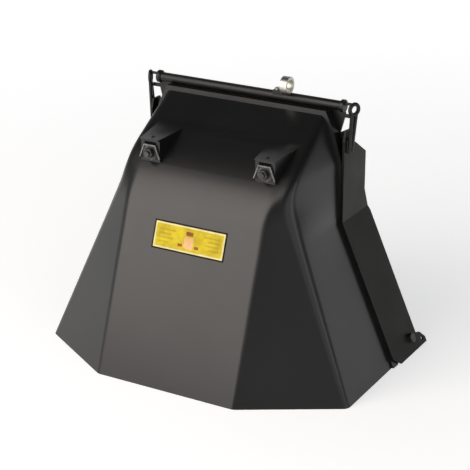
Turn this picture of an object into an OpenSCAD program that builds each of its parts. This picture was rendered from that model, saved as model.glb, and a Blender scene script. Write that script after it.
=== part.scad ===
// Discharge deflector for the rear of a mower deck: a moulded hood carried by a welded steel frame.
// Millimetres, +Z up. The part stands on its open bottom rim, its front faces -Y and its rear +Y.
// The shapes are written with the hood's rear face at y = 0, and seat() then centres the part on the origin.

/* [Hood] */
// Width of the hood across its bottom corners
hood_w = 482; // [460:2:520]
// Depth of the hood at the bottom, rear face to front panel
hood_depth = 236; // [222:2:256]
// Width of the flat front panel
panel_w = 217; // [200:1:226]
// Depth of the side faces at the bottom, rear face to corner
side_depth = 157; // [145:1:170]
// Height at which the roof would meet the rear face
roof_h = 364; // [352:1:380]
// Slope of the roof from the level, degrees
roof_pitch = 33.7; // [32:0.1:36]
// Lean of the front panel from upright, degrees
front_lean = 19.5; // [18:0.1:21]
// Lean of the side faces from upright, degrees
side_lean = 22.5; // [21.5:0.1:23.5]
// Lean of the corner between chamfer and side, seen from the side, degrees
corner_lean = 6.6; // [5:0.1:8]
// Width of the upper body at the rear edge, between the ears
ear_body_w = 300; // [288:1:312]
// Width of the upper body along the roof's edges, at the shoulder
roof_w = 266; // [260:1:274]
// How far each roof edge closes in towards the top, degrees
roof_taper = 4.2; // [3:0.1:5]
// Wall thickness of the moulding
wall = 4; // [3:0.25:5]
// Length over which the front panel blends into the roof
shoulder_blend = 44; // [30:1:60]
// Rounding of the corner lines at the bottom
corner_cut = 7; // [4:0.5:9]
// Rounding of the corner lines at the shoulder
shoulder_cut = 13; // [9:0.5:14]

/* [Rear rim] */
// Depth of the raised rim round the rear edge
rim_d = 16; // [12:0.5:20]
// Height of the rim above the wall
rim_h = 3.2; // [2:0.1:4.5]
// Width of the inward flange behind the rim
flange_w = 30; // [28:1:32]
// Thickness of the inward flange
flange_t = 4; // [3:0.25:5]
// How far below the crown the rear outline has its waist
waist_drop = 32; // [28:1:38]
// Width of the rear outline at the waist
waist_w = 277; // [270:1:284]
// Width of the rear outline at the top
crown_w = 248; // [240:1:256]

/* [Roof bosses] */
// Distance between the centres of the two bosses
boss_gap = 181; // [172:1:188]
// Width of a boss at its front face
boss_front_w = 30; // [29:0.5:34]
// Width of a boss where it runs into the roof
boss_rear_w = 43; // [38:0.5:48]
// Distance of the boss's front face from the rear face
boss_y = 118; // [114:0.5:120]
// Rise of the boss's top edge above the roof
boss_rise = 29.5; // [27:0.5:33]
// Slope of the boss's top, degrees
boss_slope = 4.6; // [3:0.1:7]
// Overhang of the boss's top lip
lip_out = 3; // [2:0.5:4]
// Thickness of the top lip
lip_t = 2.6; // [2:0.1:3.5]
// How far the bolt lies below the boss's top edge
roof_bolt_drop = 20; // [18:0.5:21]

/* [Steel frame] */
// Thickness of the steel sheet
sheet = 3; // [2:0.25:4]
// Width of the back frame's legs and cross member
frame_w = 30; // [28:1:36]
// Clearance between welded or stacked steel pieces
weld_gap = 0.1; // [0.05:0.05:0.2]
// Clearance between the hood's rim and the side plates
plate_gap = 0.2; // [0.1:0.05:0.4]
// Depth of a side plate behind the rear face
plate_rear = 70; // [64:1:78]
// How far a side plate covers the rim, from the rear face forward
plate_front = 14; // [11:0.5:15]
// How far the ear reaches behind the rear face
ear_rear = 55; // [48:1:60]
// How far the ear's rear corner lies below the neck
ear_corner_drop = 46; // [40:1:54]
// How far the neck that carries the hook stands above the waist
neck_rise = 6; // [4:1:8]
// Radius of the lug at the foot
lug_r = 9.5; // [9:0.5:12]
// How far the lug reaches behind the rear face
lug_rear = 91.5; // [86:0.5:98]
// Hole in the lug
lug_hole_d = 6.5; // [5.5:0.1:8]

/* [Top bar and hooks] */
// Diameter of the top bar
bar_d = 13; // [11:0.5:14]
// Length of the top bar
bar_len = 299; // [290:1:304]
// Outside diameter of the collars
collar_d = 18; // [16:0.5:20]
// Length of a collar
collar_len = 5; // [4:0.5:7]
// Diameter of the weld pins between bar and eye
link_d = 4; // [3:0.25:4.5]
// Diameter of the hook wire
wire_d = 5.5; // [4.5:0.25:6]
// Radius of the eye at the middle of the wire
eye_r = 7.3; // [7:0.1:8.5]
// Reamed bore of the eye
eye_bore_d = 10; // [9.5:0.1:11]
// Turn of the eye towards the front, degrees
eye_turn = 25; // [15:1:30]
// How far the eye's centre lies below the bar's axis
eye_drop = 2.6; // [1:0.2:4]
// How far the eye stands out from the ear's outer face
eye_out = 7; // [5.5:0.25:9]

/* [Lifting bush] */
// Outside diameter of the bush
bush_d = 25; // [22:0.5:28]
// Bore of the bush
bush_bore_d = 17; // [14:0.5:19]
// Length of the bush
bush_len = 11; // [9:0.5:14]
// Distance of the bush's middle from the centre of the bar
bush_x = 62.5; // [50:0.5:75]
// Lean of the bush forward round the bar, degrees
bush_lean = 18; // [8:1:26]
// Length of the bracket's upright
bracket_t = 7; // [5:0.5:9]
// Length of the bracket's foot
bracket_foot = 10; // [9:0.5:13]

/* [Fasteners] */
// Thread diameter of the roof and foot bolts
big_thread = 8; // [6:0.5:8]
// Outside diameter of the wide roof washers
big_washer_d = 24; // [20:0.5:24]
// Thickness of the wide roof washers
big_washer_t = 2; // [1.5:0.1:2.5]
// Thread diameter of the frame bolts
small_thread = 6; // [5:0.5:6]
// Thickness of the small washers
small_washer_t = 1.2; // [1:0.1:1.6]
// Radial clearance of a bolt in a drilled hole
hole_gap = 0.3; // [0.2:0.05:0.5]
// Radial clearance of a thread in its nut
thread_gap = 0.05; // [0.03:0.01:0.1]
// Height of the lowest frame bolt on each side
side_bolt_low = 45; // [35:1:55]
// Height of the highest frame bolt on each side
side_bolt_high = 250; // [235:1:265]
// Frame bolts on each side
side_bolts = 3; // [2:1:4]
// Width of the stays under the roof
stay_w = 20; // [16:0.5:21]
// Clearance between a stay and the roof
stay_gap = 3.5; // [3.5:0.5:5]
// Distance of the foot bolt behind the rear face
foot_bolt_y = 50; // [42:1:56]
// Height of the foot bolt
foot_bolt_h = 18; // [16:1:24]

/* [Sticker] */
// Width of the sticker
sticker_w = 110; // [90:1:130]
// Height of the sticker along the panel
sticker_h = 36; // [28:1:44]
// Height of the sticker's middle above the ground
sticker_mid_h = 198; // [180:1:205]
// Thickness of the sticker
sticker_t = 0.4; // [0.2:0.1:0.8]

/* [Hidden] */

$fn = 48;
eps = 0.01;
steel_black = [0.09, 0.09, 0.09];
plastic_black = [0.14, 0.14, 0.15];
zinc = [0.75, 0.75, 0.72];

// Half widths and the rear face's place on the finished part
half_w = hood_w / 2;
half_panel = panel_w / 2;
half_ear = ear_body_w / 2;
half_waist = waist_w / 2;
half_crown = crown_w / 2;
rear_y = (hood_depth - lug_rear) / 2;

// Rear outline of the hood: it leans in from the foot to the bend, stands upright to the ear's top,
// closes in to the waist and then to the crown
crown_h = roof_h - rim_h - 0.8;
waist_h = crown_h - waist_drop;
knee_h = waist_h + 6;
ear_top_h = waist_h - 40;
bend_h = 0.56 * crown_h;
rear_lean = atan((half_w - 1 - half_ear) / bend_h);
rear_points = [
    [half_w - 1, 0], [half_ear, bend_h], [half_ear, ear_top_h], [half_waist, waist_h],
    [half_waist - 2, knee_h], [half_crown, crown_h]
];

// Height at which a leaning side meets the edge of the roof
shoulder_h = (half_w - roof_w / 2) / tan(side_lean);

// The top bar lies along the crown of the rim
bar_y = -1;
bar_h = crown_h + bar_d / 2 + weld_gap;

// Joins two limits with a smooth curve over the length k
function blend_max(a, b, k) = max(a, b) + pow(max(k - abs(a - b), 0), 2) / (4 * k);

// The outside of the hood at height z, for a surface that lies t inside it
function roof_line(z, t) = (z - roof_h) / tan(roof_pitch) + t / sin(roof_pitch);
function front_y(z, t) =
    blend_max(-hood_depth + z * tan(front_lean) + t / cos(front_lean), roof_line(z, t), shoulder_blend);
function corner_y(z, t) =
    blend_max(-side_depth + z * tan(corner_lean) + 0.6 * t, roof_line(z, t), 0.75 * shoulder_blend);
function corner_x(z, t) =
    blend_max(half_w - z * tan(side_lean), roof_w / 2 - (z - shoulder_h) * tan(roof_taper), 6)
    - t / cos(side_lean);
function panel_x(t) = half_panel - 0.33 * t;
function rear_x(z, t) = lookup(z, [for (p = rear_points) [p.y, p.x]]) - t / cos(side_lean);
function corner_round(z) = corner_cut + (shoulder_cut - corner_cut) * min(z / shoulder_h, 1);

// Points of a rounded corner at b, between its neighbours a and c
function toward(a, b, r) = a + (b - a) * min(r / norm(b - a), 0.48);
function rounded(a, b, c, r, n) =
    let (p = toward(b, a, r), q = toward(b, c, r))
    [for (i = [0:n]) let (s = i / n) (1 - s) * (1 - s) * p + 2 * s * (1 - s) * b + s * s * q];

// Half outline of the hood at height z, from the right rear edge to the middle of the front
side_columns = 7;
function half_outline(z, t) =
    let (
        rear = [rear_x(z, t), 0],
        corner = [corner_x(z, t), min(corner_y(z, t), -eps * 2)],
        panel = [panel_x(t), min(front_y(z, t), -eps * 2)],
        middle = [0, panel.y]
    )
    concat(
        [for (i = [0:side_columns - 1]) rear + (toward(corner, rear, corner_round(z)) - rear) * i / side_columns],
        rounded(rear, corner, panel, corner_round(z), 5),
        rounded(corner, panel, middle, corner_round(z) * 0.55, 3)
    );
function flip_x(p) = [-p.x, p.y];
function reversed(v) = [for (i = [len(v) - 1:-1:0]) v[i]];
function both_sides(v) = concat(v, reversed([for (p = v) flip_x(p)]));
function outline(z, t) = both_sides(half_outline(z, t));
function ring(z) = [for (p = concat(outline(z, wall), reversed(outline(z, 0)))) [p.x, p.y, z]];

// Heights of the hood's rows: few along the flat panels, close together over the shoulder
hood_rows = concat(
    [for (i = [0:3]) bend_h * i / 4],
    [bend_h, crown_h * 0.6, crown_h * 0.63],
    [for (i = [0:14]) crown_h * (0.65 + i * 0.0145)],
    [crown_h - 44, waist_h, knee_h, crown_h - 18, crown_h - 12, crown_h - 6]
);

// Skins a stack of rings of equal length and closes both ends
module skin(rings) {
    n = len(rings[0]);
    points = [for (r = rings, p = r) p];
    sides = [
        for (k = [0:len(rings) - 2], i = [0:n - 1])
            let (a = k * n + i, b = k * n + (i + 1) % n)
            each [[a, a + n, b + n], [a, b + n, b]]
    ];
    caps = [
        for (i = [0:n / 2 - 2])
            let (q = [i, i + 1, n - 2 - i, n - 1 - i], top = (len(rings) - 1) * n)
            each [q, [for (k = reversed(q)) k + top]]
    ];
    polyhedron(points, concat(sides, caps), convexity = 8);
}

// Places a shape written from the hood's rear face on the finished part
module seat() {
    translate([0, rear_y, 0]) children();
}

// Mirrored copy on the left side
module left_side() {
    mirror([1, 0, 0]) children();
}

// Extrudes an outline drawn in X and Z along Y, from y to y + d
module rear_sheet(y, d) {
    translate([0, y + d, 0]) rotate([90, 0, 0]) linear_extrude(d, convexity = 8) children();
}

// Rear outline of the hood, as a filled shape, grown by g
module rear_shape(g) {
    polygon(both_sides([for (p = rear_points) [p.x + g, p.y]]));
}

// Rear outline inside the rim, flange or frame: w narrower than the hood's outline, and its top drop lower
module rear_opening(w, drop) {
    lean = w / cos(rear_lean);
    pts = [for (p = rear_points) if (p.y < crown_h - drop) [p.x - lean, p.y]];
    top = [lookup(crown_h - drop, [for (p = rear_points) [p.y, p.x]]) - lean, crown_h - drop];
    polygon(both_sides(concat([[half_w - 1 - lean + tan(rear_lean), -1]], pts, [top])));
}

// Rise of the roof for each millimetre of depth, the boss's height, and where its top runs into the roof
roof_rise = tan(roof_pitch);
boss_h = roof_h - boss_y * roof_rise + boss_rise;
roof_bolt_h = boss_h - roof_bolt_drop;
boss_rear_y = (boss_h + boss_y * tan(boss_slope) - roof_h) / (roof_rise - tan(boss_slope));

// Side profile of a roof boss, drawn in Y and Z: inset moves its walls inwards and drop deepens it
module boss_profile(inset, drop) {
    front = -boss_y + inset;
    top = boss_h - inset;
    far = boss_rear_y + 8;
    polygon([
        [front, top],
        [far, top + (far + boss_y) * tan(boss_slope)],
        [far, roof_h + far * roof_rise - drop],
        [front, roof_h - boss_y * roof_rise - drop - 4]
    ]);
}

// Plan of a roof boss
module boss_plan(inset) {
    half_f = boss_front_w / 2 - inset;
    half_r = boss_rear_w / 2 - inset;
    grow = (half_r - half_f) / (boss_rear_y + boss_y);
    far = boss_rear_y + 10;
    near = -boss_y - lip_out - 1;
    polygon([
        [-half_f + grow * (lip_out + 1), near], [half_f - grow * (lip_out + 1), near],
        [half_f + grow * (far + boss_y), far], [-half_f - grow * (far + boss_y), far]
    ]);
}

// Turns a profile drawn in Y and Z into a bar along X, w wide and centred on x = 0
module across(w) {
    translate([-w / 2, 0, 0]) rotate([90, 0, 90]) linear_extrude(w) children();
}

module boss_outside() {
    intersection() {
        union() {
            across(boss_rear_w * 2) boss_profile(0, wall * 0.6);
            across(boss_rear_w * 2) translate([-boss_y - lip_out, boss_h - lip_t]) square([lip_out + 1, lip_t]);
        }
        linear_extrude(boss_h * 2) boss_plan(0);
    }
}

module boss_inside() {
    intersection() {
        across(boss_rear_w * 2) boss_profile(wall, 16);
        linear_extrude(boss_h * 2) boss_plan(wall);
    }
}

// A round hole or pin along Y, from y0 to y1
module along_y(r, y0, y1) {
    translate([0, y1, 0]) rotate([90, 0, 0]) cylinder(r = r, h = y1 - y0);
}

// Centres of the frame bolts, [x, z] on the rear face
top_bolt_h = crown_h - flange_w + 7;
side_bolt_in = wall / cos(side_lean) + (flange_w - wall) / 2 + 1;
side_bolt_step = (side_bolt_high - side_bolt_low) / (side_bolts - 1);
side_bolt_heights = [for (i = [0:side_bolts - 1]) side_bolt_low + i * side_bolt_step];
bolt_places = concat(
    [for (s = [-1, 1], z = side_bolt_heights) [s * (rear_x(z, 0) - side_bolt_in), z]],
    [for (x = [-boss_gap / 2, 0, boss_gap / 2]) [x, top_bolt_h]]
);

module hood() {
    color(plastic_black) seat() difference() {
        union() {
            skin([for (z = hood_rows) ring(z)]);
            rear_sheet(-rim_d, rim_d) difference() {
                rear_shape(rim_h);
                rear_opening(wall * 1.05, 7);
            }
            rear_sheet(-flange_t, flange_t) difference() {
                rear_shape(rim_h);
                rear_opening(flange_w, flange_w);
            }
            for (s = [-1, 1]) translate([s * boss_gap / 2, 0, 0]) boss_outside();
        }
        for (s = [-1, 1]) translate([s * boss_gap / 2, 0, 0]) {
            boss_inside();
            translate([0, 0, roof_bolt_h]) along_y(big_thread / 2 + hole_gap, -boss_y - 1, -boss_y + wall + 1);
        }
        for (p = bolt_places) translate([p.x, 0, p.y]) along_y(small_thread / 2 + hole_gap, -flange_t - 1, 1);
    }
}

// Sticker: a thin sheet with rounded corners on the front panel
module sticker() {
    color("gold") seat()
        translate([0, -hood_depth + sticker_mid_h * tan(front_lean) - 0.05, sticker_mid_h])
            rotate([90 - front_lean, 0, 0]) linear_extrude(sticker_t) square([sticker_w, sticker_h], center = true);
}

// Steel sheet: the back frame lies on the hood's rear face, the side plates outside the rim
plate_in = rim_h + plate_gap;
ear_x = half_ear + plate_in;
neck_h = waist_h + neck_rise;
ear_corner_h = neck_h - ear_corner_drop;
module frame_outline() {
    notch = [half_waist + 4, waist_h];
    tab_h = 5;
    tab_top = crown_h - 5;
    tab_x = ear_x + sheet + eye_out - wire_d / 2 - 0.4;
    collar_low = bar_h - collar_d / 2 - weld_gap;
    collar_in = bar_len / 2 - collar_len - 1;
    polygon(both_sides([
        [half_w - 1 + plate_in - weld_gap, 0],
        [ear_x - weld_gap, bend_h], [ear_x - weld_gap, neck_h],
        notch,
        [bar_len / 2 - 1, tab_top - tab_h], [tab_x, tab_top - tab_h], [tab_x, tab_top], [bar_len / 2, tab_top],
        [bar_len / 2, collar_low], [collar_in, collar_low], [collar_in, crown_h - weld_gap]
    ]));
}

module back_frame() {
    color(steel_black) seat() difference() {
        rear_sheet(weld_gap, sheet) difference() {
            frame_outline();
            rear_opening(frame_w, frame_w);
            translate([-half_w * 2, -eps]) square([half_w * 4, 3]);
        }
        for (p = bolt_places)
            translate([p.x, 0, p.y]) along_y(small_thread / 2 + hole_gap, -1, sheet + 1);
    }
}

// Section of a side plate in X and Z: it leans in with the hood up to the bend and then stands upright
module plate_section() {
    foot = half_w - 1 + plate_in;
    skew = sheet / cos(rear_lean);
    bend_out = bend_h + (skew - sheet) / tan(rear_lean);
    polygon([
        [foot, 0], [foot + skew, 0], [ear_x + sheet, bend_out], [ear_x + sheet, neck_h],
        [ear_x, neck_h], [ear_x, bend_h]
    ]);
}

// Outline of a side plate in Y and Z
module plate_outline() {
    neck = 9;
    lug_y = lug_rear - lug_r;
    polygon([
        [3, 0], [lug_rear, 0], [lug_rear, lug_r * 0.7], [lug_y, lug_r * 0.7 + lug_r],
        [plate_rear, lug_r * 2], [plate_rear, bend_h - 6], [ear_rear, bend_h + 30], [ear_rear, ear_corner_h],
        [ear_rear * 0.5, neck_h - ear_corner_drop * 0.6], [neck + 5, neck_h - 19], [neck, neck_h],
        [-neck, neck_h], [-plate_front, neck_h - 14], [-plate_front, 12]
    ]);
}

// Cuts the lug's square corner to its radius
module lug_corner() {
    translate([lug_rear - lug_r, lug_r * 0.7]) difference() {
        square([lug_r + 1, lug_r + 1]);
        circle(lug_r);
    }
}

// Places a shape on the leaning part of a side plate: local +Z points out of the plate, z = 0 on its inner face
module on_plate(y, z) {
    translate([half_w - 1 + plate_in - z * tan(rear_lean), y, z]) rotate([0, 90 - rear_lean, 0]) children();
}

module side_plate() {
    color(steel_black) seat() difference() {
        intersection() {
            rear_sheet(-plate_front - 1, plate_front + lug_rear + 2) plate_section();
            across(hood_w * 2) difference() {
                plate_outline();
                lug_corner();
            }
        }
        on_plate(lug_rear - lug_r, lug_r * 0.7) translate([0, 0, -5]) cylinder(d = lug_hole_d, h = sheet + 10);
        on_plate(foot_bolt_y, foot_bolt_h)
            translate([0, 0, -5]) cylinder(r = big_thread / 2 + hole_gap, h = sheet + 10);
    }
}

module right_side_plate() {
    side_plate();
}

module left_side_plate() {
    left_side() side_plate();
}

// Top bar
screw_x = bush_x - bush_len / 2 - bracket_t - bracket_foot / 2;
screw_d = 4;

// A round bar or bore along X, from x0 to x1
module along_x(r, x0, x1) {
    translate([x0, 0, 0]) rotate([0, 90, 0]) cylinder(r = r, h = x1 - x0);
}

module top_bar() {
    color(steel_black) seat() difference() {
        translate([0, bar_y, bar_h]) along_x(bar_d / 2, -bar_len / 2, bar_len / 2);
        translate([screw_x, bar_y, bar_h]) cylinder(d = screw_d + 0.2, h = bar_d);
    }
}

module collar() {
    color(steel_black) seat() translate([0, bar_y, bar_h]) difference() {
        along_x(collar_d / 2, bar_len / 2 - collar_len, bar_len / 2);
        along_x(bar_d / 2 + weld_gap, bar_len / 2 - collar_len - 1, bar_len / 2 + 1);
    }
}

module right_collar() {
    collar();
}

module left_collar() {
    left_side() collar();
}

// Eye of the right hook: its centre, and the direction of its plane
eye_x = ear_x + sheet + eye_out;
eye_h = bar_h - eye_drop;
eye_y = -1.5;
eye_dir = [sin(eye_turn), cos(eye_turn)];

// The eye's ring, as a solid of wire that is g thicker all round
module eye_ring(g) {
    translate([eye_x, eye_y, eye_h]) rotate([90, 0, 90 - eye_turn])
        rotate_extrude(convexity = 4) translate([eye_r, 0]) circle(r = wire_d / 2 + g);
}

// Weld pin between the bar's end and the inner side of the eye's top
module link() {
    pin_h = eye_h + eye_r - 0.8;
    color(steel_black) seat() difference() {
        translate([0, eye_y, pin_h]) along_x(link_d / 2, bar_len / 2 + weld_gap, eye_x - wire_d / 3);
        eye_ring(weld_gap);
    }
}

module right_link() {
    link();
}

module left_link() {
    left_side() link();
}

// Straight wire between two points
module wire(a, b) {
    d = b - a;
    translate(a) rotate([0, acos(d.z / norm(d)), atan2(d.y, d.x)]) cylinder(d = wire_d - 0.2, h = norm(d));
}

// Hook: an eye with two legs that run down to the ear's outer face
module hook() {
    spread = eye_r / 2;
    leg_x = ear_x + sheet + wire_d / 2 + weld_gap;
    leg_foot = neck_h - 32;
    color(steel_black) seat() {
        difference() {
            eye_ring(0);
            translate([eye_x, eye_y, eye_h]) rotate([90, 0, 90 - eye_turn])
                translate([0, 0, -wire_d]) cylinder(d = eye_bore_d, h = wire_d * 2);
        }
        for (s = [-1, 1])
            wire(
                [eye_x + s * spread * eye_dir.x, eye_y + s * spread * eye_dir.y, eye_h - eye_r * cos(30)],
                [leg_x, eye_y + s * spread * 1.05, leg_foot]
            );
    }
}

module right_hook() {
    hook();
}

module left_hook() {
    left_side() hook();
}

// Stay: a strap from the rear flange, along the roof, to the bolt in the boss
module stay_profile() {
    rear = -flange_t - weld_gap;
    front = -boss_y + wall + weld_gap;
    run = roof_h - (wall + stay_gap) / cos(roof_pitch);
    thick = sheet / cos(roof_pitch);
    knee = front + sheet;
    polygon([
        [rear, top_bolt_h - 9], [rear, run + rear * roof_rise],
        [knee, run + knee * roof_rise], [knee, roof_bolt_h + 9], [front, roof_bolt_h + 9],
        [front, run + front * roof_rise - thick],
        [rear - sheet, run + (rear - sheet) * roof_rise - thick], [rear - sheet, top_bolt_h - 9]
    ]);
}

module stay() {
    color(steel_black) seat() translate([boss_gap / 2, 0, 0]) difference() {
        across(stay_w) stay_profile();
        translate([0, 0, roof_bolt_h]) along_y(big_thread / 2 + hole_gap, -boss_y, -boss_y + wall + sheet + 2);
        translate([0, 0, top_bolt_h]) along_y(small_thread / 2 + hole_gap, -flange_t - sheet - 2, 0);
    }
}

module right_stay() {
    stay();
}

module left_stay() {
    left_side() stay();
}

// Hexagon across flats
module hexagon(flats, h) {
    cylinder(d = flats / cos(30), h = h, $fn = 6);
}

function flats_of(d) = d * 1.6 + 0.2;
function head_of(d) = d * 0.66;
function nut_of(d) = d * 0.81;

// Bolt along +Z: the seat of its head at z = 0, the head below, the shank h long
module bolt(d, h) {
    translate([0, 0, -head_of(d)]) hexagon(flats_of(d), head_of(d));
    translate([0, 0, -eps]) cylinder(d = d, h = h + eps);
}

module nut(d) {
    difference() {
        hexagon(flats_of(d), nut_of(d));
        translate([0, 0, -1]) cylinder(r = d / 2 + thread_gap, h = nut_of(d) + 2);
    }
}

module washer(outer, d, t) {
    difference() {
        cylinder(d = outer, h = t);
        translate([0, 0, -1]) cylinder(r = d / 2 + 0.2, h = t + 2);
    }
}

// The roof bolt's axis: its head bears on the stay inside, and it points out through the boss
module roof_axis(y) {
    seat() translate([boss_gap / 2, y, roof_bolt_h]) rotate([90, 0, 0]) children();
}
roof_clamp = wall + sheet + weld_gap * 2 + big_washer_t;
module roof_bolt() {
    color(steel_black) roof_axis(-boss_y + wall + sheet + weld_gap * 2)
        bolt(big_thread, roof_clamp + nut_of(big_thread) + 3);
}

module roof_washer() {
    color(steel_black) roof_axis(-boss_y) washer(big_washer_d, big_thread, big_washer_t);
}

module roof_nut() {
    color(steel_black) roof_axis(-boss_y - big_washer_t) nut(big_thread);
}

module right_roof_bolt() {
    roof_bolt();
}

module left_roof_bolt() {
    left_side() roof_bolt();
}

module right_roof_washer() {
    roof_washer();
}

module left_roof_washer() {
    left_side() roof_washer();
}

module right_roof_nut() {
    roof_nut();
}

module left_roof_nut() {
    left_side() roof_nut();
}

// The frame bolts' axes: heads and washers behind the back frame, nuts inside the hood
function has_stay(p) = abs(p.x) == boss_gap / 2 && p.y == top_bolt_h;
module frame_axis(p, y) {
    seat() translate([p.x, y, p.y]) rotate([90, 0, 0]) children();
}

module frame_bolts() {
    rear = sheet + weld_gap + small_washer_t;
    color(steel_black) for (p = bolt_places)
        frame_axis(p, rear)
            bolt(small_thread, rear + flange_t + (has_stay(p) ? sheet + weld_gap : 0) + nut_of(small_thread) + 2);
}

module frame_washers() {
    color(steel_black) for (p = bolt_places)
        frame_axis(p, sheet + weld_gap + small_washer_t) washer(small_thread * 2, small_thread, small_washer_t);
}

module frame_nuts() {
    color(steel_black) for (p = bolt_places)
        frame_axis(p, -flange_t - (has_stay(p) ? sheet + weld_gap : 0)) nut(small_thread);
}

// Foot bolt: head outside the side plate, nut inside
module foot_bolt() {
    color(steel_black) seat() on_plate(foot_bolt_y, foot_bolt_h)
        translate([0, 0, sheet]) rotate([180, 0, 0]) bolt(big_thread, sheet + nut_of(big_thread) + 3);
}

module right_foot_bolt() {
    foot_bolt();
}

module left_foot_bolt() {
    left_side() foot_bolt();
}

module foot_nuts() {
    color(steel_black) for (m = [0, 1]) mirror([m, 0, 0])
        seat() on_plate(foot_bolt_y, foot_bolt_h) translate([0, 0, -nut_of(big_thread)]) nut(big_thread);
}

// Lifting bush: it touches the bar's upper front side and is held by a bracket at its left end
bush_reach = bar_d / 2 + bush_d / 2 + weld_gap;
bush_y = bar_y - bush_reach * sin(bush_lean);
bush_h = bar_h + bush_reach * cos(bush_lean);

module lift_bush() {
    color(zinc) seat() translate([bush_x, bush_y, bush_h]) difference() {
        along_x(bush_d / 2, -bush_len / 2, bush_len / 2);
        along_x(bush_bore_d / 2, -bush_len / 2 - 1, bush_len / 2 + 1);
    }
}

// Bracket: a foot that saddles the bar and an upright against the bush
module bush_bracket() {
    right = bush_x - bush_len / 2 - weld_gap;
    deep = 13;
    foot_top = bar_h + bar_d / 2 + 2;
    color(steel_black) seat() difference() {
        union() {
            translate([right - bracket_t - bracket_foot, bar_y - deep / 2, bar_h + 2])
                cube([bracket_t + bracket_foot, deep, foot_top - bar_h - 2]);
            translate([right - bracket_t, bar_y - deep / 2, bar_h + 2]) cube([bracket_t, deep, bar_d / 2 + 8]);
        }
        translate([0, bar_y, bar_h]) along_x(bar_d / 2 + weld_gap, right - 50, right + 1);
        translate([0, bush_y, bush_h]) along_x(bush_bore_d / 2 + 0.5, right - 50, right + 1);
        translate([screw_x, bar_y, bar_h]) cylinder(d = screw_d + 0.4, h = bar_d * 2);
    }
}

module bush_screw() {
    foot_top = bar_h + bar_d / 2 + 2;
    color(zinc) seat() translate([screw_x, bar_y, 0]) {
        translate([0, 0, bar_h + 0.5]) cylinder(d = screw_d, h = foot_top - bar_h);
        translate([0, 0, foot_top]) cylinder(d = 8, h = 2);
        translate([0, 0, foot_top + 2 - eps]) cylinder(d1 = 8, d2 = 5, h = 1, $fn = 48);
    }
}

hood();
sticker();
back_frame();
left_side_plate();
right_side_plate();
top_bar();
left_collar();
right_collar();
left_link();
right_link();
left_hook();
right_hook();
left_stay();
right_stay();
left_roof_bolt();
right_roof_bolt();
left_roof_washer();
right_roof_washer();
left_roof_nut();
right_roof_nut();
frame_bolts();
frame_washers();
frame_nuts();
left_foot_bolt();
right_foot_bolt();
foot_nuts();
lift_bush();
bush_bracket();
bush_screw();
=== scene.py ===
"""Looks of the mower deck deflector: moulded hood, painted steel, zinc bush and yellow sticker."""

import math

import bmesh
import bpy
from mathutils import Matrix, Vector
from mathutils.bvhtree import BVHTree

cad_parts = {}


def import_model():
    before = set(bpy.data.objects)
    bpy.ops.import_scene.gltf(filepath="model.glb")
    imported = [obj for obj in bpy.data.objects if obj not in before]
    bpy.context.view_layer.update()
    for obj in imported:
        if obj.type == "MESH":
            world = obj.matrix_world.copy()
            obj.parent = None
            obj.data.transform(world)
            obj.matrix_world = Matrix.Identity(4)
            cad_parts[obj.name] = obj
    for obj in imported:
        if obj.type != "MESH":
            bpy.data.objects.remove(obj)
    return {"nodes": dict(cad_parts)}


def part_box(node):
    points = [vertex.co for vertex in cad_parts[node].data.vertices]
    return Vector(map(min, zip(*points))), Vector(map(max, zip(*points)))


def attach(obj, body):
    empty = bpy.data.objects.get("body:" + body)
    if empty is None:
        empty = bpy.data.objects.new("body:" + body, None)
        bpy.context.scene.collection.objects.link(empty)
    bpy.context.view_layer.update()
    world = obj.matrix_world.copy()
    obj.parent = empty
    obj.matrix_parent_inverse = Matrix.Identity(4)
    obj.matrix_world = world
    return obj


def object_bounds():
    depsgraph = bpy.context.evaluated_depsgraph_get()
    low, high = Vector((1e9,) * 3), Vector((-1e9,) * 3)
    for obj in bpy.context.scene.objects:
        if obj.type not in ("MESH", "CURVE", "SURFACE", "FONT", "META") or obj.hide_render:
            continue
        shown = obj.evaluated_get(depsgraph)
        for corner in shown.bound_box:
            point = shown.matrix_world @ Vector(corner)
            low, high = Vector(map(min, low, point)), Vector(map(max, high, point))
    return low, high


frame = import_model()
cad_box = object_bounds()
nodes = frame["nodes"]

MM = 0.001
SIDES = (("right", 1), ("left", -1))

# Places taken from the frame
rear_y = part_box("hood")[1].y
bar_radius = (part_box("top_bar")[1].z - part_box("top_bar")[0].z) / 2


def middle(name):
    low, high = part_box(name)
    return (low + high) / 2


def extent(name, keep):
    """Lowest and highest corner of the vertices of a node that pass a test."""
    points = [v.co for v in nodes[name].data.vertices if keep(v.co)]
    return Vector(map(min, zip(*points))), Vector(map(max, zip(*points)))


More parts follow.
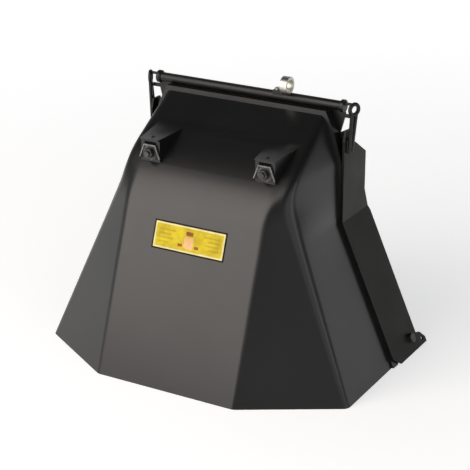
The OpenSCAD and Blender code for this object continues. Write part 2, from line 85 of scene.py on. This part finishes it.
class Shader:
    """A small node tree round one Principled shader."""

    def __init__(self, name, **constants):
        self.material = bpy.data.materials.new(name)
        self.material.use_nodes = True
        self.tree = self.material.node_tree
        self.bsdf = self.tree.nodes["Principled BSDF"]
        self.place = self.tree.nodes.new("ShaderNodeTexCoord").outputs["Object"]
        for socket, value in constants.items():
            self.bsdf.inputs[socket.replace("_", " ")].default_value = value

    def node(self, kind, inputs=(), **settings):
        made = self.tree.nodes.new(kind)
        for name, value in settings.items():
            setattr(made, name, value)
        for socket, value in dict(inputs).items():
            if isinstance(value, bpy.types.NodeSocket):
                self.tree.links.new(value, made.inputs[socket])
            else:
                made.inputs[socket].default_value = value
        return made

    def noise(self, scale, detail=3.0, rough=0.5, stretch=(1, 1, 1)):
        """Noise in the object's own space: scale is in bumps per metre."""
        mapped = self.node("ShaderNodeMapping", {"Vector": self.place, "Scale": stretch})
        return self.node(
            "ShaderNodeTexNoise",
            {"Vector": mapped.outputs[0], "Scale": scale, "Detail": detail, "Roughness": rough},
        ).outputs["Fac"]

    def ramp(self, fac, *stops):
        """Colour or grey steps: each stop is (place, value) with a grey or an (r, g, b)."""
        made = self.node("ShaderNodeValToRGB", {"Fac": fac})
        steps = made.color_ramp.elements
        while len(steps) < len(stops):
            steps.new(0.5)
        for step, (place, value) in zip(steps, stops):
            step.position = place
            colour = value if isinstance(value, tuple) else (value,) * 3
            step.color = (*colour, 1)
        return made.outputs["Color"]

    def mix(self, fac, a, b):
        return self.node(
            "ShaderNodeMix", {0: fac, 6: a, 7: b}, data_type="RGBA", clamp_factor=True
        ).outputs[2]

    def math(self, operation, a, b=0.0, clamp=False):
        return self.node("ShaderNodeMath", {0: a, 1: b}, operation=operation, use_clamp=clamp).outputs[0]

    def link(self, output, socket):
        self.tree.links.new(output, self.bsdf.inputs[socket])

    def bump(self, height, distance, strength=1.0, under=None):
        made = self.node("ShaderNodeBump", {"Height": height, "Distance": distance, "Strength": strength})
        if under is not None:
            self.tree.links.new(under, made.inputs["Normal"])
        return made.outputs["Normal"]

    def wear(self, width):
        """1 on sharp outer edges and 0 elsewhere, from the bevelled normal."""
        bevel = self.node("ShaderNodeBevel", {"Radius": width}, samples=4)
        geometry = self.node("ShaderNodeNewGeometry")
        dot = self.node("ShaderNodeVectorMath", {0: bevel.outputs[0], 1: geometry.outputs["Normal"]},
                        operation="DOT_PRODUCT")
        return self.math("SUBTRACT", 1.0, dot.outputs["Value"], clamp=True)


def moulded_plastic():
    """Black moulding with a fine grain, soft cloudy gloss, a little dust and faintly rubbed edges."""
    s = Shader("moulded_plastic", Specular_IOR_Level=0.44)
    cloud = s.noise(9, 4, 0.55)
    speck = s.noise(900, 2)
    flow = s.noise(5, 3, 0.6, stretch=(1, 1, 0.25))
    colour = s.ramp(cloud, (0.3, (0.0070, 0.0072, 0.0074)), (0.7, (0.0115, 0.0110, 0.0106)))
    dusty = s.mix(s.ramp(speck, (0.60, 0.0), (0.80, 0.25)), colour, (0.032, 0.030, 0.028, 1))
    rubbed = s.math("MULTIPLY", s.wear(1.2 * MM), 1.6, clamp=True)
    s.link(s.mix(rubbed, dusty, (0.040, 0.039, 0.038, 1)), "Base Color")
    s.link(s.ramp(flow, (0.3, 0.27), (0.7, 0.34)), "Roughness")
    fine = s.bump(speck, 0.00010, 0.35)
    s.link(s.bump(s.noise(14, 2), 0.0012, 0.20, fine), "Normal")
    return s.material


def powder_coat(name, dark, light, edge, rough=0.38, gloss=0.3):
    """Black paint on steel with a faint orange peel and paler worn edges."""
    s = Shader(name, Specular_IOR_Level=gloss)
    cloud = s.noise(25, 3)
    worn = s.math("MULTIPLY", s.wear(0.8 * MM), s.ramp(s.noise(90, 3), (0.35, 0.4), (0.65, 2.4)), clamp=True)
    s.link(s.mix(worn, s.ramp(cloud, (0.3, dark), (0.7, light)), edge), "Base Color")
    s.link(s.ramp(cloud, (0.3, rough - 0.06), (0.7, rough + 0.08)), "Roughness")
    s.link(s.bump(s.noise(700, 2), 0.0001, 0.4), "Normal")
    return s.material


def metal(name, dark, light, rough, metallic=1.0, grain=400):
    s = Shader(name, Metallic=metallic)
    spots = s.noise(160, 4, 0.6)
    s.link(s.ramp(spots, (0.35, dark), (0.65, light)), "Base Color")
    s.link(s.ramp(spots, (0.3, rough + 0.12), (0.7, rough)), "Roughness")
    s.link(s.bump(s.noise(grain, 2), 0.00008, 0.3), "Normal")
    return s.material


def threaded(name, axis, radius, pitch):
    """Blackened steel with thread grooves round an axis along Y, inside a radius."""
    s = Shader(name, Metallic=1.0)
    spots = s.noise(160, 4, 0.6)
    s.link(s.ramp(spots, (0.35, (0.045, 0.043, 0.040)), (0.65, (0.10, 0.095, 0.09))), "Base Color")
    s.link(s.ramp(spots, (0.3, 0.48), (0.7, 0.36)), "Roughness")
    split = s.node("ShaderNodeSeparateXYZ", {0: s.place})
    across = s.math("SUBTRACT", split.outputs["X"], axis.x)
    above = s.math("SUBTRACT", split.outputs["Z"], axis.z)
    square = s.math("ADD", s.math("MULTIPLY", across, across), s.math("MULTIPLY", above, above))
    inside = s.math("LESS_THAN", square, radius * radius)
    turns = s.math("MULTIPLY", split.outputs["Y"], 2 * math.pi / pitch)
    s.link(s.bump(s.math("MULTIPLY", s.math("SINE", turns), inside), 0.0004, 0.8), "Normal")
    return s.material


def film(name, dark, light, rough=0.42):
    """Printed film: a faded colour with a low, slightly uneven gloss; also the near-black painted shade in
    the boss openings.
    """
    s = Shader(name, Specular_IOR_Level=0.15)
    fade = s.noise(70, 4, 0.6)
    s.link(s.ramp(fade, (0.35, dark), (0.65, light)), "Base Color")
    s.link(s.ramp(fade, (0.3, rough - 0.04), (0.7, rough + 0.06)), "Roughness")
    return s.material


PLASTIC = moulded_plastic()
STEEL = powder_coat("black_powder_coat", (0.008, 0.008, 0.008), (0.014, 0.014, 0.0135),
                    (0.05, 0.05, 0.048, 1))
PLATE = powder_coat("plate_powder_coat", (0.014, 0.014, 0.012), (0.021, 0.021, 0.018),
                    (0.05, 0.05, 0.046, 1), rough=0.46, gloss=0.15)
BOLT = metal("blackened_steel", (0.035, 0.035, 0.033), (0.09, 0.088, 0.084), 0.34, 0.8)
# Lighter steel for the clips' forward lips: a painted highlight along the arch of each clip.
LIP_PAINTED_HIGHLIGHT = metal("lip_painted_highlight_steel", (0.11, 0.11, 0.107), (0.25, 0.247, 0.24), 0.45, 0.35)
# Near-black matte finish: painted shade standing in for the shadowed inside of the hollow bosses.
HOLLOW_PAINTED_SHADE = film("boss_hollow_painted_shade", (0.0008, 0.0008, 0.0008), (0.0016, 0.0016, 0.0016), 0.9)
ZINC = metal("zinc_plate", (0.42, 0.41, 0.36), (0.62, 0.61, 0.55), 0.34)
YELLOW = film("sticker_yellow", (0.54, 0.40, 0.008), (0.76, 0.60, 0.020))
CREAM = film("sticker_cream", (0.74, 0.68, 0.33), (0.86, 0.82, 0.52))
UMBER = film("sticker_umber", (0.0020, 0.0018, 0.0006), (0.006, 0.005, 0.0015), 0.7)
OCHRE = film("sticker_ochre", (0.46, 0.33, 0.007), (0.60, 0.45, 0.014))
PEACH = film("sticker_peach", (0.80, 0.44, 0.17), (0.90, 0.60, 0.30))
RUST = film("sticker_rust", (0.25, 0.065, 0.010), (0.42, 0.14, 0.018))

FINISH = {
    "hood": PLASTIC, "sticker": YELLOW, "back_frame": STEEL, "top_bar": STEEL,
    "left_collar": STEEL, "right_collar": STEEL, "left_link": STEEL, "right_link": STEEL,
    "left_hook": STEEL, "right_hook": STEEL, "left_side_plate": PLATE, "right_side_plate": PLATE,
    "left_stay": STEEL, "right_stay": STEEL, "bush_bracket": STEEL,
    "lift_bush": ZINC, "bush_screw": ZINC, "frame_bolts": ZINC, "frame_washers": ZINC,
    "frame_nuts": ZINC, "foot_nuts": ZINC,
    "right_roof_bolt": threaded("right_thread", middle("right_roof_bolt"), 4.05 * MM, 1.25 * MM),
    "left_roof_bolt": threaded("left_thread", middle("left_roof_bolt"), 4.05 * MM, 1.25 * MM),
}
for name, obj in nodes.items():
    obj.data.materials.clear()
    obj.data.materials.append(FINISH.get(name, BOLT))


SHEETS = ("left_side_plate", "right_side_plate", "back_frame", "left_stay", "right_stay")


def soften(obj, width, flat=False):
    """Rounds the sharp edges of a solid, and smooths the faces between them unless it is a flat sheet."""
    weld = obj.modifiers.new("weld", "WELD")
    weld.merge_threshold = 0.00002
    if flat:
        merge = obj.modifiers.new("merge", "DECIMATE")
        merge.decimate_type = "DISSOLVE"
        merge.angle_limit = math.radians(0.5)
    bevel = obj.modifiers.new("round", "BEVEL")
    bevel.width = width
    bevel.segments = 2
    bevel.limit_method = "ANGLE"
    bevel.angle_limit = math.radians(32)
    bevel.use_clamp_overlap = True
    for face in obj.data.polygons:
        face.use_smooth = not flat
    if not flat:
        normals = obj.modifiers.new("normals", "WEIGHTED_NORMAL")
        normals.keep_sharp = True


for name, obj in nodes.items():
    if name != "sticker":
        soften(obj, 0.5 * MM, name in SHEETS)


def add_piece(name, data, finish):
    """Puts a new piece on the object's one body."""
    obj = bpy.data.objects.new(name, data)
    bpy.context.scene.collection.objects.link(obj)
    data.materials.append(finish)
    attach(obj, "root")
    return obj


def slab(name, outlines, place, low, high, finish, holes=None):
    """Closed flat pieces: place(a, b, height) puts each point; a hole has as many as its outline."""
    bm = bmesh.new()
    for index, outline in enumerate(outlines):
        levels = [[bm.verts.new(place(a, b, h)) for a, b in outline] for h in (low, high)]
        count = len(outline)
        walls = [levels]
        if holes:
            inner = [[bm.verts.new(place(a, b, h)) for a, b in holes[index]] for h in (low, high)]
            walls.append(inner)
            for ring, hole in zip(levels, inner):
                for i in range(count):
                    j = (i + 1) % count
                    bm.faces.new((ring[i], ring[j], hole[j], hole[i]))
        else:
            for ring in levels:
                bm.faces.new(ring)
        for bottom, top in walls:
            for i in range(count):
                j = (i + 1) % count
                bm.faces.new((bottom[i], bottom[j], top[j], top[i]))
    bmesh.ops.recalc_face_normals(bm, faces=bm.faces)
    mesh = bpy.data.meshes.new(name)
    bm.to_mesh(mesh)
    bm.free()
    return add_piece(name, mesh, finish)


def rectangle(u, v, w, h, r=0.0, steps=5):
    """Outline of a rectangle with round corners, centred on u, v."""
    points = []
    for corner in range(4):
        sx, sy = ((1, 1), (-1, 1), (-1, -1), (1, -1))[corner]
        for i in range(steps + 1):
            turn = math.pi / 2 * (corner + i / steps)
            across = u + sx * (w / 2 - r) + r * math.cos(turn)
            points.append((across, v + sy * (h / 2 - r) + r * math.sin(turn)))
    return points


def disc(r, steps=32):
    """Outline of a disc round the origin."""
    turns = [2 * math.pi * i / steps for i in range(steps)]
    return [(r * math.cos(t), r * math.sin(t)) for t in turns]


def scaled(outline, k):
    return [(a * k, b * k) for a, b in outline]


def sticker_print():
    """Generic fields of colour and simple shapes on the sticker."""
    mesh = nodes["sticker"].data
    face = min(mesh.polygons, key=lambda p: p.normal.y)
    normal = face.normal.copy()
    up = Vector((1, 0, 0)).cross(normal) * -1
    if up.z < 0:
        up = -up
    outer = [v.co for v in mesh.vertices if (v.co - face.center).dot(normal) > -0.05 * MM]
    centre = sum(outer, Vector()) / len(outer)
    width = max(p.x for p in outer) - min(p.x for p in outer)
    height = max((p - centre).dot(up) for p in outer) * 2

    def place(u, v, h):
        return centre + Vector((1, 0, 0)) * u + up * v + normal * h

    sink, ink, panel = -0.05 * MM, 0.06 * MM, -0.5 * MM
    border, gap, rim = 2.0 * MM, 0.4 * MM, 2.0 * MM

    def frame_of(inset, thick):
        outline = rectangle(0, 0, width - 2 * inset, height - 2 * inset, 1.0 * MM)
        hole = rectangle(0, 0, width - 2 * (inset + thick), height - 2 * (inset + thick), 0.6 * MM)
        return [outline], [hole]

    outlines, holes = frame_of(-border, border - 0.05 * MM)
    slab("sticker_border", outlines, place, panel, sink, UMBER, holes)
    outlines, holes = frame_of(gap, rim)
    slab("sticker_rim", outlines, place, sink, ink, CREAM, holes)
    bars = []
    bar_high, row_step, longest, outer_edge = 2.4 * MM, 5.6 * MM, 27 * MM, 48 * MM
    for row, share in enumerate((0.95, 0.7, 0.85, 0.6)):
        long = longest * share
        for side in (-1, 1):
            across = side * (outer_edge - long / 2)
            bars.append(rectangle(across, (1.5 - row) * row_step, long, bar_high, 0.8 * MM))
    slab("sticker_bars", bars, place, sink, ink, OCHRE)
    block = rectangle(0, -4.5 * MM, 15 * MM, 16 * MM, 3 * MM)
    slab("sticker_block", [block], place, sink, ink, PEACH)
    marks = [
        rectangle(0, 8.2 * MM, 11 * MM, 5.5 * MM, 1.5 * MM),
        rectangle(-13 * MM, -9 * MM, 7 * MM, 4 * MM, 1.2 * MM),
        rectangle(13 * MM, -9 * MM, 7 * MM, 4 * MM, 1.2 * MM),
    ]
    slab("sticker_marks", marks, place, sink, ink, RUST)


def roof_plates():
    """Arched clips with flared legs and a forward lip, between the bosses and the wide washers; the lighter
    lip is a painted highlight, and a near-black sheet above each clip is painted shade in the boss opening.
    """
    foot, top = -8 * MM, 11.8 * MM
    half, half_top = 17 * MM, 9.4 * MM
    thick, lip = 1.9 * MM, 3.4 * MM
    slot_wide, slot_high = 19 * MM, 3.4 * MM
    slope = (half - half_top) / (top - foot)
    leg = thick * math.hypot(1, slope)
    inner_top = top - thick
    inner_half_top = half_top + slope * thick - leg
    arch = [(half, foot), (half_top, top), (-half_top, top), (-half, foot)]
    inner = [(leg - half, foot), (-inner_half_top, inner_top),
             (inner_half_top, inner_top), (half - leg, foot)]
    for side, _ in SIDES:
        washer = middle(f"{side}_roof_washer")
        boss_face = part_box(f"{side}_roof_washer")[1].y

        def place(a, b, h):
            return Vector((washer.x + a, boss_face - h, washer.z + b))

        plate = slab(f"{side}_roof_plate", [arch], place, 0.02 * MM, thick, PLATE)
        # The lip is lighter than the clip's plate: a painted highlight along the arch.
        cap = slab(f"{side}_roof_plate_lip", [arch + inner], place, thick * 0.8, lip, LIP_PAINTED_HIGHLIGHT)
        slot = rectangle(0, top + slot_high / 2, slot_wide, slot_high, 1.0 * MM)
        # A thin near-black sheet in the boss opening above each clip: painted shade, not a part of the hood.
        slab(f"{side}_boss_hollow_painted_shade", [slot], place, -0.3 * MM, 0.1 * MM, HOLLOW_PAINTED_SHADE)
        for obj in (plate, cap):
            soften(obj, 0.3 * MM)


def boss_plugs():
    """A small moulded plug near the front edge of each boss's top."""
    mesh = nodes["hood"].data
    tree = BVHTree.FromPolygons([v.co for v in mesh.vertices], [tuple(p.vertices) for p in mesh.polygons])
    back, radius = 7 * MM, 2.6 * MM
    for side, _ in SIDES:
        washer = middle(f"{side}_roof_washer")
        start = Vector((washer.x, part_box(f"{side}_roof_washer")[1].y + back, cad_box[1][2] + 0.1))
        seat, normal, _, _ = tree.ray_cast(start, Vector((0, 0, -1)))
        across = Vector((1, 0, 0))
        along = normal.cross(across).normalized()

        def place(a, b, h):
            return seat + across * a + along * b + normal * h

        outline = disc(radius)
        plug = slab(f"{side}_boss_plug", [outline], place, -0.3 * MM, 0.9 * MM, PLASTIC,
                    [scaled(outline, 0.55)])
        soften(plug, 0.3 * MM)


def bead(name, points, radius, cyclic=False):
    """A weld bead: a rippled tube along the points."""
    data = bpy.data.curves.new(name, "CURVE")
    data.dimensions = "3D"
    data.bevel_depth = radius
    data.bevel_resolution = 2
    data.use_fill_caps = not cyclic
    spline = data.splines.new("POLY")
    spline.points.add(len(points) - 1)
    spline.use_cyclic_u = cyclic
    spline.use_smooth = True
    for i, (point, place) in enumerate(zip(spline.points, points)):
        point.co = (*place, 1)
        point.radius = 1 + 0.2 * math.sin(i * 2.1)
    add_piece(name, data, STEEL)


def line(a, b, step=1.4 * MM):
    count = max(int((b - a).length / step), 2)
    return [a.lerp(b, i / count) for i in range(count + 1)]


def circle_x(centre, radius, steps=30):
    """Points of a circle round an axis along X."""
    turns = [2 * math.pi * i / steps for i in range(steps)]
    return [centre + Vector((0, radius * math.cos(t), radius * math.sin(t))) for t in turns]


def bar_welds():
    """Beads where bar, collars, weld pins and hook legs meet."""
    for side, sign in SIDES:
        low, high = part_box(f"{side}_collar")
        inner = low.x if sign > 0 else high.x
        centre = (low + high) / 2
        centre.x = inner - sign * 0.5 * MM
        bead(f"{side}_collar_weld", circle_x(centre, bar_radius + 0.5 * MM), 1.0 * MM, True)
        low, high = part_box(f"{side}_link")
        pin = (low + high) / 2
        pin_radius = (high.z - low.z) / 2
        pin.x = (low.x if sign > 0 else high.x) + sign * 0.4 * MM
        bead(f"{side}_link_weld", circle_x(pin, pin_radius + 0.2 * MM, 18), 0.8 * MM, True)
        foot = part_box(f"{side}_hook")[0].z
        leg_low, leg_high = extent(f"{side}_hook", lambda p: p.z < foot + 3 * MM)
        face = leg_low.x if sign > 0 else leg_high.x
        for place, y in (("front", leg_low.y - 0.2 * MM), ("rear", leg_high.y + 0.2 * MM)):
            x = face + sign * 0.9 * MM
            ends = [Vector((x, y, foot + rise)) for rise in (1 * MM, 19 * MM)]
            bead(f"{side}_hook_weld_{place}", line(*ends), 1.1 * MM)


def plate_welds():
    """Stitch welds on the rear, where the side plates meet the back frame."""
    weld_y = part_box("back_frame")[1].y + 0.3 * MM
    ear_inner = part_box("right_side_plate")[0].x
    foot_inner = extent("right_side_plate", lambda p: p.z < 0.5 * MM)[0].x
    bend = extent("right_side_plate", lambda p: p.x < ear_inner + 0.05 * MM)[0].z
    ear_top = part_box("right_side_plate")[1].z

    def inner_x(z):
        return ear_inner if z > bend else foot_inner + (ear_inner - foot_inner) * z / bend

    stitch, count = 26 * MM, 5
    for side, sign in SIDES:
        for i in range(count):
            start = 22 * MM + (ear_top - 60 * MM) * i / count
            ends = [Vector((sign * (inner_x(z) - 0.4 * MM), weld_y, z)) for z in (start, start + stitch)]
            bead(f"{side}_plate_weld_{i + 1}", line(*ends), 1.3 * MM)


sticker_print()
roof_plates()
boss_plugs()
bar_welds()
plate_welds()


def background_rays(tree):
    """1 for the rays that show the background: straight, mirrored and through glass."""
    path = tree.nodes.new("ShaderNodeLightPath")
    total = path.outputs["Is Camera Ray"]
    for kind in ("Is Glossy Ray", "Is Transmission Ray"):
        add = tree.nodes.new("ShaderNodeMath")
        add.operation = "ADD"
        add.use_clamp = True
        tree.links.new(total, add.inputs[0])
        tree.links.new(path.outputs[kind], add.inputs[1])
        total = add.outputs[0]
    return total


def floor():
    """White ground: it looks near white, and the object's shadow stays on it."""
    width, near, far, near_lift, far_lift = 60, 0.3, 2.0, 0.62, 0.88
    bpy.ops.mesh.primitive_plane_add(size=width)
    made = bpy.context.object
    made.name = "floor"
    material = bpy.data.materials.new("floor_white")
    material.use_nodes = True
    tree = material.node_tree
    bsdf = tree.nodes["Principled BSDF"]
    bsdf.inputs["Base Color"].default_value = (0.6, 0.6, 0.6, 1)
    bsdf.inputs["Roughness"].default_value = 0.9
    reach = tree.nodes.new("ShaderNodeVectorMath")
    reach.operation = "LENGTH"
    tree.links.new(tree.nodes.new("ShaderNodeTexCoord").outputs["Object"], reach.inputs[0])
    rise = tree.nodes.new("ShaderNodeMapRange")
    for socket, value in (("From Min", near), ("From Max", far), ("To Min", near_lift), ("To Max", far_lift)):
        rise.inputs[socket].default_value = value
    tree.links.new(reach.outputs["Value"], rise.inputs["Value"])
    lift = tree.nodes.new("ShaderNodeMath")
    lift.operation = "MULTIPLY"
    tree.links.new(rise.outputs[0], lift.inputs[1])
    tree.links.new(background_rays(tree), lift.inputs[0])
    bsdf.inputs["Emission Color"].default_value = (1, 1, 1, 1)
    tree.links.new(lift.outputs[0], bsdf.inputs["Emission Strength"])
    made.data.materials.append(material)


def world():
    """Soft room light: pale low down and on the left, dark overhead, with a white backdrop at the horizon."""
    made = bpy.data.worlds.new("studio")
    bpy.context.scene.world = made
    made.use_nodes = True
    tree = made.node_tree
    new, link = tree.nodes.new, tree.links.new
    split = new("ShaderNodeSeparateXYZ")
    link(new("ShaderNodeTexCoord").outputs["Generated"], split.inputs[0])

    def fade(axis, low, high, *stops):
        span = new("ShaderNodeMapRange")
        span.inputs["From Min"].default_value = low
        span.inputs["From Max"].default_value = high
        link(split.outputs[axis], span.inputs["Value"])
        ramp = new("ShaderNodeValToRGB")
        link(span.outputs[0], ramp.inputs["Fac"])
        steps = ramp.color_ramp.elements
        while len(steps) < len(stops):
            steps.new(0.5)
        for step, (place, value) in zip(steps, stops):
            step.position = place
            step.color = (*value, 1)
        return ramp.outputs["Color"]

    sky = fade("Z", 0, 1, (0.0, (0.60, 0.60, 0.60)), (0.32, (0.38, 0.38, 0.39)),
               (0.75, (0.025, 0.035, 0.048)))
    tilt = fade("X", -1, 1, (0.0, (1.0, 0.98, 0.95)), (1.0, (0.38, 0.39, 0.41)))
    backdrop = fade("Z", 0, 1, (0.01, (1, 1, 1)), (0.05, (0, 0, 0)))
    light = new("ShaderNodeMix")
    light.data_type = "RGBA"
    light.blend_type = "MULTIPLY"
    light.inputs[0].default_value = 1
    link(sky, light.inputs[6])
    link(tilt, light.inputs[7])
    white = new("ShaderNodeMix")
    white.data_type = "RGBA"
    shown = new("ShaderNodeMath")
    shown.operation = "MULTIPLY"
    link(background_rays(tree), shown.inputs[0])
    link(backdrop, shown.inputs[1])
    link(shown.outputs[0], white.inputs[0])
    link(light.outputs[2], white.inputs[6])
    white.inputs[7].default_value = (1, 1, 1, 1)
    link(white.outputs[2], tree.nodes["Background"].inputs["Color"])


def lamp(name, azimuth, elevation, distance, size, power, colour=(1, 1, 1), aim=(0, 0, 0.17)):
    """A soft box: azimuth 0 is in front of the part and 90 on its right."""
    az, el = math.radians(azimuth), math.radians(elevation)
    back = Vector((math.sin(az) * math.cos(el), -math.cos(az) * math.cos(el), math.sin(el)))
    data = bpy.data.lights.new(name, "AREA")
    data.shape = "RECTANGLE"
    data.size, data.size_y = size
    data.energy = power
    data.color = colour
    made = bpy.data.objects.new(name, data)
    bpy.context.scene.collection.objects.link(made)
    made.location = Vector(aim) + back * distance
    made.rotation_mode = "QUATERNION"
    made.rotation_quaternion = (-back).to_track_quat("-Z", "Y")
    return made


def camera():
    """The photograph's view: its angle, distance and focal length in a square frame."""
    azimuth, elevation, distance = math.radians(29.86), math.radians(21.68), 2.3339
    target = Vector((-0.0235, rear_y, 0.1439))
    frame_px, focal_px, sensor = 470, 1600, 36
    back = Vector((
        math.sin(azimuth) * math.cos(elevation),
        -math.cos(azimuth) * math.cos(elevation),
        math.sin(elevation),
    ))
    data = bpy.data.cameras.new("camera")
    data.sensor_width = sensor
    data.lens = focal_px / frame_px * sensor
    data.clip_end = 50
    made = bpy.data.objects.new("camera", data)
    bpy.context.scene.collection.objects.link(made)
    made.location = target + back * distance
    made.rotation_mode = "QUATERNION"
    made.rotation_quaternion = (-back).to_track_quat("-Z", "Y")
    bpy.context.scene.camera = made


floor()
world()
# Each lamp: azimuth and elevation in degrees, distance and size in metres, watts, colour
lamp("key", -27, 30, 1.9, (1.5, 1.95), 38, (1.0, 0.93, 0.88))
lamp("front_fill", 62, 22, 2.2, (1.3, 1.3), 5)
lamp("fill", 92, 15, 2.2, (0.7, 0.9), 4, (0.97, 0.98, 1.0))
lamp("back", -148, 30, 2.2, (1.2, 0.6), 1.6, (0.97, 0.98, 1.0))
camera()
bpy.context.scene.view_settings.view_transform = "Standard"
